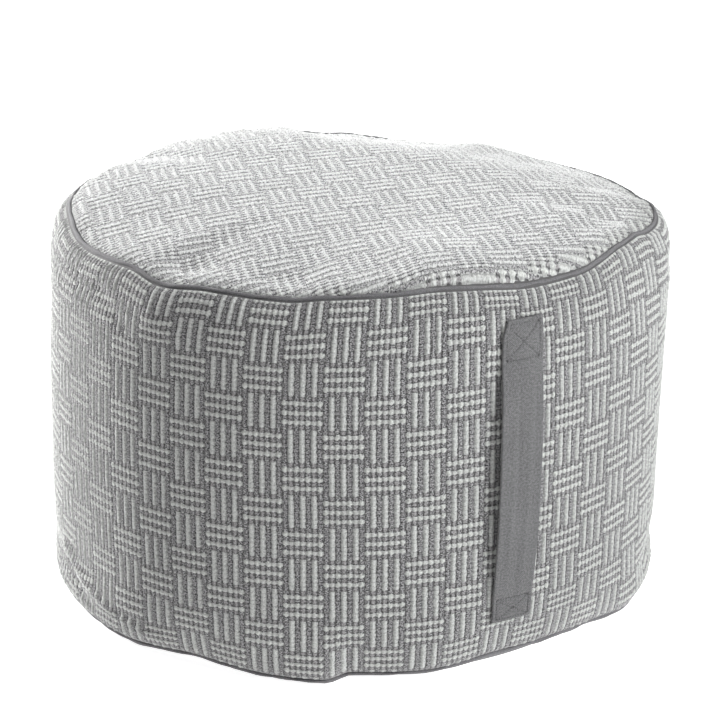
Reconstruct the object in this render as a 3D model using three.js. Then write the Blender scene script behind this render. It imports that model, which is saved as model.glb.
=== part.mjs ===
// Round floor pouf in basket-weave cloth: a filled drum with a crowned top, a flat base,
// piped seams and one carry strap sewn to its side.
// Millimetres, +Z up. The origin is on the floor under the middle, and the strap faces -Y.
// An azimuth is counted in degrees from the strap towards +X.

import * as THREE from 'three';
import { mergeVertices } from 'three/addons/utils/BufferGeometryUtils.js';

// Drum
const bodyRadius = 250;
const topSeam = { radius: 233, height: 306 };
const baseSeam = { radius: 241, height: 4.5 }; // where it lies lowest
const topDraw = 45; // depth over which the side draws in to the top seam
const baseDraw = 35;
const seatGap = 0.3; // clearance between sewn pieces
const panelSeat = 0.5; // clearance under a panel before it is settled, which narrows it

// Cloth and piping
const clothThickness = 3;
const pipingRadius = 3;
const seamAngle = 29; // degrees above the piping's middle where a panel's edge meets it

// Top and base panels
const crownHeight = 14;
const crownTilt = 0.42; // the crown is fuller towards one side
const fullSide = 151.5; // azimuth of that side
const shoulderWidth = 14;
const shoulderHeight = 5;
const heelWidth = 18; // width of the base's rounded rim

// The filled drum leans a little
const leanAtSeam = 7;
const leanSide = 61.5;

// Carry strap
const strap = { width: 34, thickness: 2.5, bottom: 44, top: 287, sewnBottom: 66, sewnTop: 256 };
const strapBow = 9; // hand gap behind the middle of the strap
const strapSkew = 4; // sideways drift from its lower to its upper end
const strapSeat = 0.5; // off the true round side, whose facets lie a little inside it

// How finely the round pieces are divided
const segments = 72;
const pipingSides = 8;

// The top seam is hand sewn and wanders: radius and height where it turns
const topSeamLine = [
  { azimuth: -172, radius: 233, height: 308.5 },
  { azimuth: -162, radius: 233, height: 309 },
  { azimuth: -155, radius: 231, height: 308 },
  { azimuth: -148, radius: 232, height: 304.5 },
  { azimuth: -136, radius: 235, height: 307 },
  { azimuth: -122, radius: 236, height: 307 },
  { azimuth: -108, radius: 233, height: 306 },
  { azimuth: -93, radius: 234, height: 303.5 },
  { azimuth: -76, radius: 233, height: 305.5 },
  { azimuth: -67, radius: 236, height: 301 },
  { azimuth: -57, radius: 233, height: 304 },
  { azimuth: -42, radius: 233, height: 303.3 },
  { azimuth: -35, radius: 233, height: 306.5 },
  { azimuth: -22, radius: 232, height: 309 },
  { azimuth: -16, radius: 231, height: 310.5 },
  { azimuth: -9, radius: 232, height: 309.5 },
  { azimuth: 4, radius: 233, height: 305 },
  { azimuth: 14, radius: 233, height: 305.4 },
  { azimuth: 29, radius: 229, height: 311 },
  { azimuth: 36, radius: 229, height: 311 },
  { azimuth: 42, radius: 232, height: 307.5 },
  { azimuth: 50, radius: 234.5, height: 306 },
  { azimuth: 60, radius: 232.5, height: 306 },
  { azimuth: 69, radius: 228, height: 302 },
  { azimuth: 80, radius: 227, height: 300 },
  { azimuth: 92, radius: 226, height: 298 },
  { azimuth: 108, radius: 226, height: 295.5 },
  { azimuth: 122, radius: 228, height: 298 },
  { azimuth: 133, radius: 228, height: 293.5 },
  { azimuth: 144, radius: 229, height: 296.5 },
  { azimuth: 154, radius: 231, height: 301.5 },
  { azimuth: 163, radius: 232, height: 304 },
  { azimuth: 171, radius: 233, height: 308.5 },
];

// The base seam rises where the bottom edge is drawn up
const baseSeamLine = [
  { azimuth: -170, radius: 242, height: 6 },
  { azimuth: -140, radius: 240, height: 9 },
  { azimuth: -105, radius: 246, height: 4.5 },
  { azimuth: -76, radius: 245.5, height: 4.5 },
  { azimuth: -58, radius: 239, height: 8 },
  { azimuth: -43, radius: 242, height: 5 },
  { azimuth: -34, radius: 242.5, height: 4.5 },
  { azimuth: -29, radius: 236.5, height: 8.5 },
  { azimuth: -15, radius: 240, height: 9 },
  { azimuth: -1, radius: 237, height: 13 },
  { azimuth: 10, radius: 238, height: 12.5 },
  { azimuth: 20, radius: 239, height: 10 },
  { azimuth: 34, radius: 245.5, height: 4.5 },
  { azimuth: 65, radius: 246, height: 4.5 },
  { azimuth: 100, radius: 240, height: 8 },
  { azimuth: 130, radius: 242, height: 5 },
  { azimuth: 160, radius: 240, height: 8 },
];

// Fullness of the top panel just inside its seam
const shoulderLine = [
  { azimuth: -176, rise: 4 },
  { azimuth: -168, rise: 3 },
  { azimuth: -156, rise: 3 },
  { azimuth: -142, rise: 5 },
  { azimuth: -128, rise: 4 },
  { azimuth: -90, rise: 3.5 },
  { azimuth: -45, rise: 3.5 },
  { azimuth: -28, rise: 5 },
  { azimuth: -15, rise: 10 },
  { azimuth: 3, rise: 12 },
  { azimuth: 12, rise: 11 },
  { azimuth: 28, rise: 5 },
  { azimuth: 44, rise: 2 },
  { azimuth: 60, rise: 0.5 },
  { azimuth: 98, rise: 0.5 },
  { azimuth: 110, rise: 3 },
  { azimuth: 135, rise: 4 },
  { azimuth: 150, rise: 0.8 },
  { azimuth: 164, rise: 0.8 },
  { azimuth: 174, rise: 4 },
];

// Main hollows of the top panel, and those of the side, where a fullness has a sink below nought
const topHollows = [
  { azimuth: -66, radius: 205, wide: 22, deep: 16, sink: 3.5 },
  { azimuth: -45, radius: 208, wide: 18, deep: 14, sink: 2.5 },
  { azimuth: 36, radius: 205, wide: 26, deep: 18, sink: 3.5 },
  { azimuth: 125, radius: 165, wide: 95, deep: 55, sink: 4 },
  { azimuth: 160, radius: 195, wide: 55, deep: 40, sink: 4 },
];
const sideHollows = [
  { azimuth: 56, height: 274, wide: 45, tall: 9, sink: 3 },
  { azimuth: 74, height: 293, wide: 32, tall: 6, sink: -4 },
  { azimuth: 66, height: 252, wide: 50, tall: 18, sink: 3 },
  { azimuth: 52, height: 30, wide: 60, tall: 17, sink: 8 },
  { azimuth: -85, height: 285, wide: 40, tall: 12, sink: 2.5 },
  { azimuth: -132, height: 293, wide: 32, tall: 6, sink: -4 },
  { azimuth: -118, height: 245, wide: 60, tall: 30, sink: 2 },
  { azimuth: -78, height: 24, wide: 35, tall: 9, sink: 2.5 },
  { azimuth: -102, height: 32, wide: 55, tall: 18, sink: 6 },
  { azimuth: 110, height: 200, wide: 70, tall: 40, sink: 2.5 },
  { azimuth: 170, height: 90, wide: 60, tall: 35, sink: 2 },
];

const toRadians = Math.PI / 180;

function smooth(from, to, value) {
  const t = Math.min(Math.max((value - from) / (to - from), 0), 1);
  return t * t * (3 - 2 * t);
}

// Slope at a row of a table, flat where its column turns back, so that no curve overshoots
function rowSlope(before, row, after) {
  const rise = (row.y - before.y) / (row.x - before.x);
  const next = (after.y - row.y) / (after.x - row.x);
  return rise * next <= 0 ? 0 : (2 * rise * next) / (rise + next);
}

// Value of one column of a table at an azimuth, on a smooth closed curve through its rows
function around(table, column, azimuth) {
  const count = table.length;
  const at = (i) => {
    const row = table[(i + count) % count];
    return { x: row.azimuth + 360 * Math.floor(i / count), y: row[column] };
  };
  let turned = azimuth;
  while (turned < table[0].azimuth) turned += 360;
  while (turned >= table[0].azimuth + 360) turned -= 360;
  let i = 0;
  while (i + 1 < count && table[i + 1].azimuth <= turned) i += 1;
  const [a, b, c, d] = [at(i - 1), at(i), at(i + 1), at(i + 2)];
  const step = c.x - b.x;
  const t = (turned - b.x) / step;
  const t2 = t * t;
  const t3 = t2 * t;
  return (2 * t3 - 3 * t2 + 1) * b.y + (t3 - 2 * t2 + t) * step * rowSlope(a, b, c)
    + (3 * t2 - 2 * t3) * c.y + (t3 - t2) * step * rowSlope(b, c, d);
}

// The same angle between -180 and 180 degrees
function shortWay(angle) {
  return angle - 360 * Math.round(angle / 360);
}

// Bell-shaped weight of a hollow at a distance counted in its own widths
function bell(u, v) {
  return Math.exp(-(u * u + v * v));
}

// Where the panel's edge lies beside the piping, on the true circle
const reach = pipingRadius + seatGap;
const topEdge = {
  radius: topSeam.radius - reach * Math.cos(seamAngle * toRadians),
  height: topSeam.height + reach * Math.sin(seamAngle * toRadians),
};
const baseEdge = {
  radius: baseSeam.radius - reach * Math.cos(seamAngle * toRadians),
  height: baseSeam.height - reach * Math.sin(seamAngle * toRadians),
};

// Turns a point of the true round pouf into the point of the uneven, leaning one.
// Every piece goes through it, so what is sewn together stays together.
function settle(point) {
  const azimuth = Math.atan2(point.x, -point.y) / toRadians;
  let radius = Math.hypot(point.x, point.y);
  let height = point.z;

  const nearTop = smooth(topSeam.height - 75, topSeam.height - 8, height)
    * smooth(0.35 * topSeam.radius, 0.92 * topSeam.radius, radius);
  const nearBase = (1 - smooth(baseSeam.height + 6, baseSeam.height + 60, height))
    * smooth(baseEdge.radius - heelWidth, baseEdge.radius - 1, radius);
  const topShift = {
    radius: around(topSeamLine, 'radius', azimuth) - topSeam.radius,
    height: around(topSeamLine, 'height', azimuth) - topSeam.height,
  };
  const baseShift = {
    radius: around(baseSeamLine, 'radius', azimuth) - baseSeam.radius,
    height: around(baseSeamLine, 'height', azimuth) - baseSeam.height,
  };

  // Fullness, crown tilt and hollows of the top
  const onTop = smooth(topSeam.height - pipingRadius, topEdge.height - seatGap, height);
  const inside = 1 - smooth(topEdge.radius - shoulderWidth, topEdge.radius, radius);
  const rise = around(shoulderLine, 'rise', azimuth) - shoulderHeight;
  const share = radius / topEdge.radius;
  const towardsFull = share * Math.cos((azimuth - fullSide) * toRadians);
  const crown = crownHeight * Math.max(0, 1 - share ** 4);
  let topLift = rise * inside * smooth(0.45, 0.93, share) + crown * crownTilt * towardsFull;
  for (const hollow of topHollows) {
    const turn = shortWay(azimuth - hollow.azimuth) * toRadians * radius;
    topLift -= hollow.sink * inside * bell(turn / hollow.wide, (radius - hollow.radius) / hollow.deep);
  }

  // Hollows of the side
  const onSide = smooth(0.7 * bodyRadius, 0.9 * bodyRadius, radius)
    * smooth(baseSeam.height, baseSeam.height + 14, height)
    * (1 - smooth(topSeam.height - 14, topSeam.height, height));
  let sideSink = 0;
  for (const hollow of sideHollows) {
    const turn = shortWay(azimuth - hollow.azimuth) * toRadians * bodyRadius;
    sideSink += hollow.sink * bell(turn / hollow.wide, (height - hollow.height) / hollow.tall);
  }

  radius += topShift.radius * nearTop + baseShift.radius * nearBase - sideSink * onSide;
  height += topShift.height * nearTop + baseShift.height * nearBase + topLift * onTop;
  const lean = leanAtSeam * (point.z / topSeam.height) ** 2;
  const turned = azimuth * toRadians;
  return new THREE.Vector3(
    radius * Math.sin(turned) + lean * Math.sin(leanSide * toRadians),
    -radius * Math.cos(turned) - lean * Math.cos(leanSide * toRadians),
    height,
  );
}

// Half-plane profile of the top's surface, from its edge to the axis, sunk by a depth of cloth
function topProfile(depth) {
  const points = [];
  for (const angle of [90, 60, 30, 0]) {
    const turn = angle * toRadians;
    const radius = topEdge.radius - shoulderWidth + (shoulderWidth - depth) * Math.sin(turn);
    points.push([radius, topEdge.height + (shoulderHeight - depth) * Math.cos(turn)]);
  }
  for (const share of [0.82, 0.64, 0.44, 0.22, 0]) {
    points.push([share * topEdge.radius, topEdge.height + shoulderHeight - depth]);
  }
  return points.map(([radius, height]) => new THREE.Vector2(
    radius,
    height + crownHeight * Math.max(0, 1 - (radius / topEdge.radius) ** 4),
  ));
}

// The same for the base, raised by a depth of cloth, from the axis to its edge
function baseProfile(depth) {
  const points = [new THREE.Vector2(0, depth)];
  for (const angle of [0, 30, 60, 90]) {
    const turn = angle * toRadians;
    points.push(new THREE.Vector2(
      baseEdge.radius - heelWidth + (heelWidth - depth / 3) * Math.sin(turn),
      baseEdge.height * (1 - Math.cos(turn)) + depth,
    ));
  }
  return points;
}

// Groove that holds the piping, as an arc about the seam's middle
function groove(seam, fromAngle, toAngle) {
  const steps = 4;
  const step = (toAngle - fromAngle) / steps;
  const radius = reach / Math.cos((step / 2) * toRadians);
  return Array.from({ length: steps + 1 }, (_, i) => {
    const turn = (fromAngle + i * step) * toRadians;
    return new THREE.Vector2(seam.radius + radius * Math.cos(turn), seam.height + radius * Math.sin(turn));
  });
}

// Radius of the side at a height, drawn in towards both seams
function sideRadius(height) {
  const startRadius = { top: topSeam.radius + 2.4, base: baseSeam.radius + 2.4 };
  const below = Math.min(Math.max((topSeam.height - 2.7 - height) / topDraw, 0), 1);
  const above = Math.min(Math.max((height - baseSeam.height - 2.7) / baseDraw, 0), 1);
  const topFill = Math.sqrt(1 - (1 - below) ** 2);
  const baseFill = Math.sqrt(1 - (1 - above) ** 2);
  return bodyRadius - (bodyRadius - startRadius.top) * (1 - topFill)
    - (bodyRadius - startRadius.base) * (1 - baseFill);
}

// Closed body from a round geometry: merged, settled, and with its faces pointing out
function solid(name, geometry, material) {
  geometry.deleteAttribute('normal');
  geometry.deleteAttribute('uv');
  const merged = mergeVertices(geometry, 1e-3);
  const position = merged.attributes.position;
  const corners = [];
  for (let i = 0; i < position.count; i += 1) {
    corners.push(new THREE.Vector3().fromBufferAttribute(position, i));
  }
  const index = Array.from(merged.index.array);
  const triangles = [];
  for (let i = 0; i < index.length; i += 3) {
    const [a, b, c] = index.slice(i, i + 3);
    if (a !== b && b !== c && c !== a) triangles.push([a, b, c]);
  }
  let volume = 0;
  for (const [a, b, c] of triangles) {
    volume += corners[a].dot(new THREE.Vector3().crossVectors(corners[b], corners[c]));
  }
  const outward = volume > 0 ? triangles : triangles.map(([a, b, c]) => [a, c, b]);

  const settled = corners.map((corner) => settle(corner));
  const body = new THREE.BufferGeometry();
  body.setAttribute('position', new THREE.Float32BufferAttribute(settled.flatMap((p) => p.toArray()), 3));
  body.setIndex(outward.flat());
  body.computeVertexNormals();
  const mesh = new THREE.Mesh(body, material);
  mesh.name = name;
  return mesh;
}

// Body of revolution about +Z
function lathe(profile) {
  return new THREE.LatheGeometry(profile, segments).rotateX(Math.PI / 2);
}

function drum() {
  const inset = clothThickness + panelSeat;
  const sideHeights = [299, 293, 283, 268, 240, 205, 170, 135, 100, 66, 44, 31, 22, 15];
  const side = sideHeights.map((height) => new THREE.Vector2(sideRadius(height), height));
  const topGroove = groove(topSeam, 157, 312);
  const baseGroove = groove(baseSeam, 48, 146);
  const topFace = topProfile(inset);
  const baseFace = baseProfile(inset);
  const stepUnder = new THREE.Vector2(topFace[0].x, topEdge.height - seatGap);
  return lathe([
    ...baseFace,
    ...baseGroove.reverse(),
    ...side.reverse(),
    ...topGroove.reverse(),
    stepUnder,
    ...topFace,
  ]);
}

function topPanel() {
  return lathe([...topProfile(0).reverse(), ...topProfile(clothThickness)]);
}

function basePanel() {
  return lathe([...baseProfile(clothThickness), ...baseProfile(0).reverse()]);
}

function piping(seam) {
  return new THREE.TorusGeometry(seam.radius, pipingRadius, pipingSides, segments)
    .translate(0, 0, seam.height);
}

// The strap lies on the side at its sewn ends and bows away between them
function carryStrap() {
  const length = strap.top - strap.bottom;
  const middle = (strap.top + strap.bottom) / 2;
  const geometry = new THREE.BoxGeometry(strap.width, strap.thickness, length, 4, 1, 27);
  const position = geometry.attributes.position;
  for (let i = 0; i < position.count; i += 1) {
    const height = middle + position.getZ(i);
    const run = (height - strap.sewnBottom) / (strap.sewnTop - strap.sewnBottom);
    const bow = run > 0 && run < 1 ? strapBow * (1 - Math.abs(2 * run - 1) ** 2.3) : 0;
    const across = position.getX(i) + (strapSkew * (height - middle)) / length;
    const off = strapSeat + bow + strap.thickness / 2 - position.getY(i);
    const turn = across / bodyRadius;
    const radius = sideRadius(height) + off;
    position.setXYZ(i, radius * Math.sin(turn), -radius * Math.cos(turn), height);
  }
  return geometry;
}

const weaveCloth = new THREE.MeshStandardMaterial({ color: 0xa9aaa8, roughness: 0.95, metalness: 0 });
const plainCloth = new THREE.MeshStandardMaterial({ color: 0x7c7b7d, roughness: 0.9, metalness: 0 });
const strapCloth = new THREE.MeshStandardMaterial({ color: 0x828284, roughness: 0.85, metalness: 0 });

const pouf = new THREE.Group();
pouf.name = 'pouf';
pouf.add(solid('side_panel', drum(), weaveCloth));
pouf.add(solid('top_panel', topPanel(), weaveCloth));
pouf.add(solid('base_panel', basePanel(), plainCloth));
pouf.add(solid('top_piping', piping(topSeam), plainCloth));
pouf.add(solid('base_piping', piping(baseSeam), plainCloth));
pouf.add(solid('handle_strap', carryStrap(), strapCloth));

export default pouf;
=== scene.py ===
import math
from types import SimpleNamespace as Sizes

import bpy
import numpy as np
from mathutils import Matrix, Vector


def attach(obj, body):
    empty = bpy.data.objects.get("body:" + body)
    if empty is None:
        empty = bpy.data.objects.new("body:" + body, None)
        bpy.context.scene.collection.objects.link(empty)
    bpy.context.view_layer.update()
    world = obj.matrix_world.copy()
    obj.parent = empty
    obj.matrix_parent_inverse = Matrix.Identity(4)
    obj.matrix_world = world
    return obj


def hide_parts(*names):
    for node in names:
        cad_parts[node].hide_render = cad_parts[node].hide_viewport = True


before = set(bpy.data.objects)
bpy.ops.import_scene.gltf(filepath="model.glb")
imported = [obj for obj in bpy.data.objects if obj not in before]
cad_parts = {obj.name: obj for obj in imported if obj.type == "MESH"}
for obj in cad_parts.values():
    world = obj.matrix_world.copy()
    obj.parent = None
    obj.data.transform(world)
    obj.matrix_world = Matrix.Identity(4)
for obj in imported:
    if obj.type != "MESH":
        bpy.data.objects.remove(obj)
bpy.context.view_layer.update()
scene = bpy.context.scene
mm = 0.001
print("stage: frame loaded")

# The pouf's own sizes, in metres. Azimuths are in degrees from the strap towards +X.
pouf = Sizes(
    bodyRadius=0.250,
    topSeamRadius=0.233,
    topSeamHeight=0.306,
    baseSeamRadius=0.241,
    baseSeamHeight=0.0045,
    topDraw=0.045,
    baseDraw=0.035,
    clothThickness=0.003,
    pipingRadius=0.003,
    seatGap=0.0003,
    seamAngle=29,
    crownHeight=0.014,
    crownTilt=0.42,
    fullSide=151.5,
    shoulderWidth=0.014,
    shoulderHeight=0.005,
    heelWidth=0.018,
    leanAtSeam=0.007,
    leanSide=61.5,
    topFollows=(0.075, 0.008),  # depths under the top seam between which the cloth comes to follow it
    baseFollows=(0.006, 0.060),  # heights over the base seam between which it stops following that one
    hollowsEnd=0.014,  # the side's hollows die away this near to the seams
    closeIn=0.0013,  # how much nearer to the pulled-in piping both cloths lie
    capRadii=(0.2262, 0.2150, 0.1950, 0.1600, 0.1100, 0.0550),  # rings of the faces under the top
)

# Where the hand-sewn seams wander: azimuth, radius in mm, height in mm
topSeamLine = [
    (-172, 233, 308.5), (-162, 233, 309), (-155, 231, 308), (-148, 232, 304.5), (-136, 235, 307),
    (-122, 236, 307), (-108, 233, 306), (-93, 234, 303.5), (-76, 233, 305.5), (-67, 236, 301),
    (-57, 233, 304), (-42, 233, 303.3), (-35, 233, 306.5), (-22, 232, 309), (-16, 231, 310.5),
    (-9, 232, 309.5), (4, 233, 305), (14, 233, 305.4), (29, 229, 311), (36, 229, 311),
    (42, 232, 307.5), (50, 234.5, 306), (60, 232.5, 306), (69, 228, 302), (80, 227, 300),
    (92, 226, 298), (108, 226, 295.5), (122, 228, 298), (133, 228, 293.5), (144, 229, 296.5),
    (154, 231, 301.5), (163, 232, 304), (171, 233, 308.5),
]
baseSeamLine = [
    (-170, 242, 6), (-140, 240, 9), (-105, 246, 4.5), (-76, 245.5, 4.5), (-58, 239, 8),
    (-43, 242, 5), (-34, 242.5, 4.5), (-29, 236.5, 8.5), (-15, 240, 9), (-1, 237, 13),
    (10, 238, 12.5), (20, 239, 10), (34, 245.5, 4.5), (65, 246, 4.5), (100, 240, 8),
    (130, 242, 5), (160, 240, 8),
]
# Fullness of the top just inside its seam: azimuth, rise in mm
shoulderLine = [
    (-176, 4), (-168, 3), (-156, 3), (-142, 5), (-128, 4), (-90, 3.5), (-45, 3.5), (-28, 5),
    (-15, 10), (3, 12), (12, 11), (28, 5), (44, 2), (60, 0.5), (98, 0.5), (110, 3), (135, 4),
    (150, 0.8), (164, 0.8), (174, 4),
]
# Hollows of the top: azimuth, radius, width round, width across, depth, in mm
topHollows = [
    (-66, 205, 22, 16, 3.5), (-45, 208, 18, 14, 2.5), (36, 205, 26, 18, 3.5), (125, 165, 95, 55, 4),
    (160, 195, 55, 40, 4),
]
# Hollows of the side: azimuth, height, width, tallness, depth, in mm
sideHollows = [
    (56, 274, 45, 9, 3), (74, 293, 32, 6, -4), (66, 252, 50, 18, 3), (52, 30, 60, 17, 8),
    (-85, 285, 40, 12, 2.5), (-132, 293, 32, 6, -4), (-118, 245, 60, 30, 2), (-78, 24, 35, 9, 2.5),
    (-102, 32, 55, 18, 6), (110, 200, 70, 40, 2.5), (170, 90, 60, 35, 2),
]


def smoothStep(start, end, value):
    t = np.clip((value - start) / (end - start), 0, 1)
    return t * t * (3 - 2 * t)


def aroundTable(rows, column, azimuth):  # smooth closed curve through a table's rows, without overshoot
    azimuths = np.array([row[0] for row in rows], float)
    values = np.array([row[column] for row in rows], float)
    x = np.concatenate([[azimuths[-1] - 360], azimuths, azimuths[:2] + 360])
    y = np.concatenate([[values[-1]], values, values[:2]])
    chord = np.diff(y) / np.diff(x)
    before, after = chord[:-1], chord[1:]
    turns = before * after <= 0
    slope = np.where(turns, 0, 2 * before * after / np.where(turns, 1, before + after))
    turned = (np.asarray(azimuth, float) - azimuths[0]) % 360 + azimuths[0]
    i = np.clip(np.searchsorted(x, turned, side="right") - 1, 1, len(x) - 3)
    step = x[i + 1] - x[i]
    t = (turned - x[i]) / step
    return (
        (2 * t**3 - 3 * t**2 + 1) * y[i]
        + (t**3 - 2 * t**2 + t) * step * slope[i - 1]
        + (3 * t**2 - 2 * t**3) * y[i + 1]
        + (t**3 - t**2) * step * slope[i]
    )


def bell(u, v):
    return np.exp(-(u * u + v * v))


def shortWay(angle):  # the same angle between -180 and 180 degrees
    return angle - 360 * np.round(angle / 360)


def sideRun(azimuth, start):  # millimetres round the side, from one azimuth to another
    return np.radians(shortWay(azimuth - start)) * pouf.bodyRadius / mm


reach = pouf.pipingRadius + pouf.seatGap
seamLift = math.radians(pouf.seamAngle)
topEdgeRadius = pouf.topSeamRadius - reach * math.cos(seamLift)
topEdgeHeight = pouf.topSeamHeight + reach * math.sin(seamLift)
baseEdgeRadius = pouf.baseSeamRadius - reach * math.cos(seamLift)
baseEdgeHeight = pouf.baseSeamHeight - reach * math.sin(seamLift)


def settle(radius, azimuth, height):  # from the true round pouf to the uneven, leaning one
    radius, azimuth, height = (np.asarray(a, float) for a in (radius, azimuth, height))
    start = height
    low, high = pouf.topFollows
    nearTop = smoothStep(pouf.topSeamHeight - low, pouf.topSeamHeight - high, height)
    nearTop = nearTop * smoothStep(0.35 * pouf.topSeamRadius, 0.92 * pouf.topSeamRadius, radius)
    low, high = pouf.baseFollows
    nearBase = 1 - smoothStep(pouf.baseSeamHeight + low, pouf.baseSeamHeight + high, height)
    nearBase = nearBase * smoothStep(baseEdgeRadius - pouf.heelWidth, baseEdgeRadius - 0.001, radius)
    topOut = aroundTable(topSeamLine, 1, azimuth) * mm - pouf.topSeamRadius
    topUp = aroundTable(topSeamLine, 2, azimuth) * mm - pouf.topSeamHeight
    baseOut = aroundTable(baseSeamLine, 1, azimuth) * mm - pouf.baseSeamRadius
    baseUp = aroundTable(baseSeamLine, 2, azimuth) * mm - pouf.baseSeamHeight

    onTop = smoothStep(pouf.topSeamHeight - pouf.pipingRadius, topEdgeHeight - pouf.seatGap, height)
    over = np.clip((radius - topEdgeRadius) / pouf.shoulderWidth + 1, 0, 1)
    inside = np.sqrt(1 - over**2)
    rise = aroundTable(shoulderLine, 1, azimuth) * mm - pouf.shoulderHeight
    share = radius / topEdgeRadius
    towardsFull = share * np.cos(np.radians(azimuth - pouf.fullSide))
    crown = pouf.crownHeight * np.maximum(0, 1 - share**4)
    topLift = rise * inside * smoothStep(0.45, 0.93, share) + crown * pouf.crownTilt * towardsFull
    for hollowAzimuth, hollowRadius, wide, deep, sink in topHollows:
        turn = np.radians(shortWay(azimuth - hollowAzimuth)) * radius / mm
        topLift = topLift - sink * mm * inside * bell(turn / wide, (radius / mm - hollowRadius) / deep)

    onSide = smoothStep(0.7 * pouf.bodyRadius, 0.9 * pouf.bodyRadius, radius)
    onSide = onSide * smoothStep(pouf.baseSeamHeight, pouf.baseSeamHeight + pouf.hollowsEnd, height)
    onSide = onSide * (1 - smoothStep(pouf.topSeamHeight - pouf.hollowsEnd, pouf.topSeamHeight, height))
    sideSink = 0
    for hollowAzimuth, hollowHeight, wide, tall, sink in sideHollows:
        run = sideRun(azimuth, hollowAzimuth)
        sideSink = sideSink + sink * mm * bell(run / wide, (height / mm - hollowHeight) / tall)

    radius = radius + topOut * nearTop + baseOut * nearBase - sideSink * onSide
    height = height + topUp * nearTop + baseUp * nearBase + topLift * onTop
    lean = pouf.leanAtSeam * (start / pouf.topSeamHeight) ** 2
    turned, side = np.radians(azimuth), math.radians(pouf.leanSide)
    return np.stack([
        radius * np.sin(turned) + lean * math.sin(side),
        -radius * np.cos(turned) - lean * math.cos(side),
        height,
    ], -1)


def sideRadius(height):  # of the true round side, drawn in towards both seams
    seamClear, seamBeside = 0.0024, 0.0027  # how far inside and beside a piping's middle it ends
    below = np.clip((pouf.topSeamHeight - seamBeside - height) / pouf.topDraw, 0, 1)
    above = np.clip((height - pouf.baseSeamHeight - seamBeside) / pouf.baseDraw, 0, 1)
    topFill = np.sqrt(1 - (1 - below) ** 2)
    baseFill = np.sqrt(1 - (1 - above) ** 2)
    full = pouf.bodyRadius
    return (full - (full - pouf.topSeamRadius - seamClear) * (1 - topFill)
            - (full - pouf.baseSeamRadius - seamClear) * (1 - baseFill))


def topSurface(radius, depth=0.0):  # height of the top of the true round pouf, down to a depth of cloth
    inner = topEdgeRadius - pouf.shoulderWidth
    width = pouf.shoulderWidth - depth
    over = np.clip((radius - inner) / width, 0, 1)
    shoulder = (pouf.shoulderHeight - depth) * np.sqrt(1 - over**2)
    return topEdgeHeight + shoulder + pouf.crownHeight * np.maximum(0, 1 - (radius / topEdgeRadius) ** 4)


# Basket weave: blocks of seven ribs by seven rows, with three pale bars along or across
weave = Sizes(
    rib=0.00431,
    row=0.003614,
    block=7,
    firstRibAzimuth=-26.79,  # where a block starts, round the side
    firstRowHeight=0.05995,  # where that block starts, up the side
)
# Height of the yarns: what is there in a gap, and what the middle of a yarn adds to it
yarns = {
    "weftBar": (0.42, 0.50),
    "weftAcross": (0.58, 0.42),
    "weftBead": (0.24, 0.76),
    "weftOnRib": (1.04, -0.10),
    "warpBar": (0.50, 0.42),
    "warpAlong": (0.76, 0.24),
    "warpAcross": (0.06, 0.94),
}


def fatness(place, name):
    thin, more = yarns[name]
    return thin + more * place


def weaveRelief(ribs, rows):  # height of the yarns, from 0 in the gaps to 1 on the fattest beads
    size = weave.block
    column, course = np.floor(ribs / size), np.floor(rows / size)
    across = (column + course) % 2 < 0.5
    paleRib = 0.5 + 0.5 * np.cos(np.pi * (ribs - 1.5 - size * column))
    paleRow = 0.5 + 0.5 * np.cos(np.pi * (rows - 1.5 - size * course))
    beadRib = 0.5 + 0.5 * np.cos(2 * np.pi * (ribs - 0.5))
    beadRow = 0.5 + 0.5 * np.cos(2 * np.pi * (rows - 0.5))
    ribRound, rowRound = np.sqrt(beadRib), np.sqrt(beadRow)
    weft = fatness(paleRow, "weftBar") * fatness(rowRound, "weftAcross") * fatness(ribRound, "weftBead")
    warp = fatness(paleRib, "warpBar") * fatness(beadRow, "warpAlong") * fatness(ribRound, "warpAcross")
    return np.where(across, weft * fatness(paleRib, "weftOnRib"), warp)


def yarnLift(sizes, ribs, rows):  # the same in metres, from the cloth's middle
    return weaveRelief(ribs, rows) * (sizes.crest + sizes.valley) - sizes.valley


def zipLoops(outer, outerTurn, inner, innerTurn):  # triangles between two loops, each sorted by its angle
    start = int(np.argmin(np.abs(shortWay(innerTurn - outerTurn[0]))))
    first = outerTurn[0] + shortWay(innerTurn[start] - outerTurn[0])
    countOut, countIn = len(outer), len(inner)
    outTurn = np.append(outerTurn, outerTurn[0] + 360)
    inTurn = first + (np.append(np.roll(innerTurn, -start), innerTurn[start]) - innerTurn[start]) % 360
    inTurn[-1] = first + 360
    inner = np.roll(inner, -start)
    faces, i, j = [], 0, 0
    while i < countOut or j < countIn:
        if j == countIn or (i < countOut and outTurn[i + 1] <= inTurn[j + 1]):
            faces.append((outer[i], outer[(i + 1) % countOut], inner[j % countIn]))
            i += 1
        else:
            faces.append((outer[i % countOut], inner[(j + 1) % countIn], inner[j]))
            j += 1
    return [tuple(int(n) for n in face) for face in faces]


def tubeFaces(rings, count, start=0):  # between rings of points that follow each other
    faces = []
    for r in range(rings - 1):
        for k in range(count):
            a, b = start + r * count + k, start + r * count + (k + 1) % count
            faces.append((a, b, b + count, a + count))
    return faces


def levelRing(radius, height, count):  # of the true round pouf, then settled
    azimuth = np.arange(count) * 360 / count
    return settle(np.full(count, radius), azimuth, np.full(count, height))


def ringsUnderTop(depth, count):  # and their middle, at a depth under the top's face
    rings = [levelRing(r, topSurface(np.array(r), depth), count) for r in pouf.capRadii]
    return rings, settle(0.0, 0.0, topSurface(np.array(0.0), depth))


def faceCorners(faces):  # the point and the face of every corner
    corner = np.concatenate([np.array(face) for face in faces])
    return corner, np.repeat(np.arange(len(faces)), [len(face) for face in faces])


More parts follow.
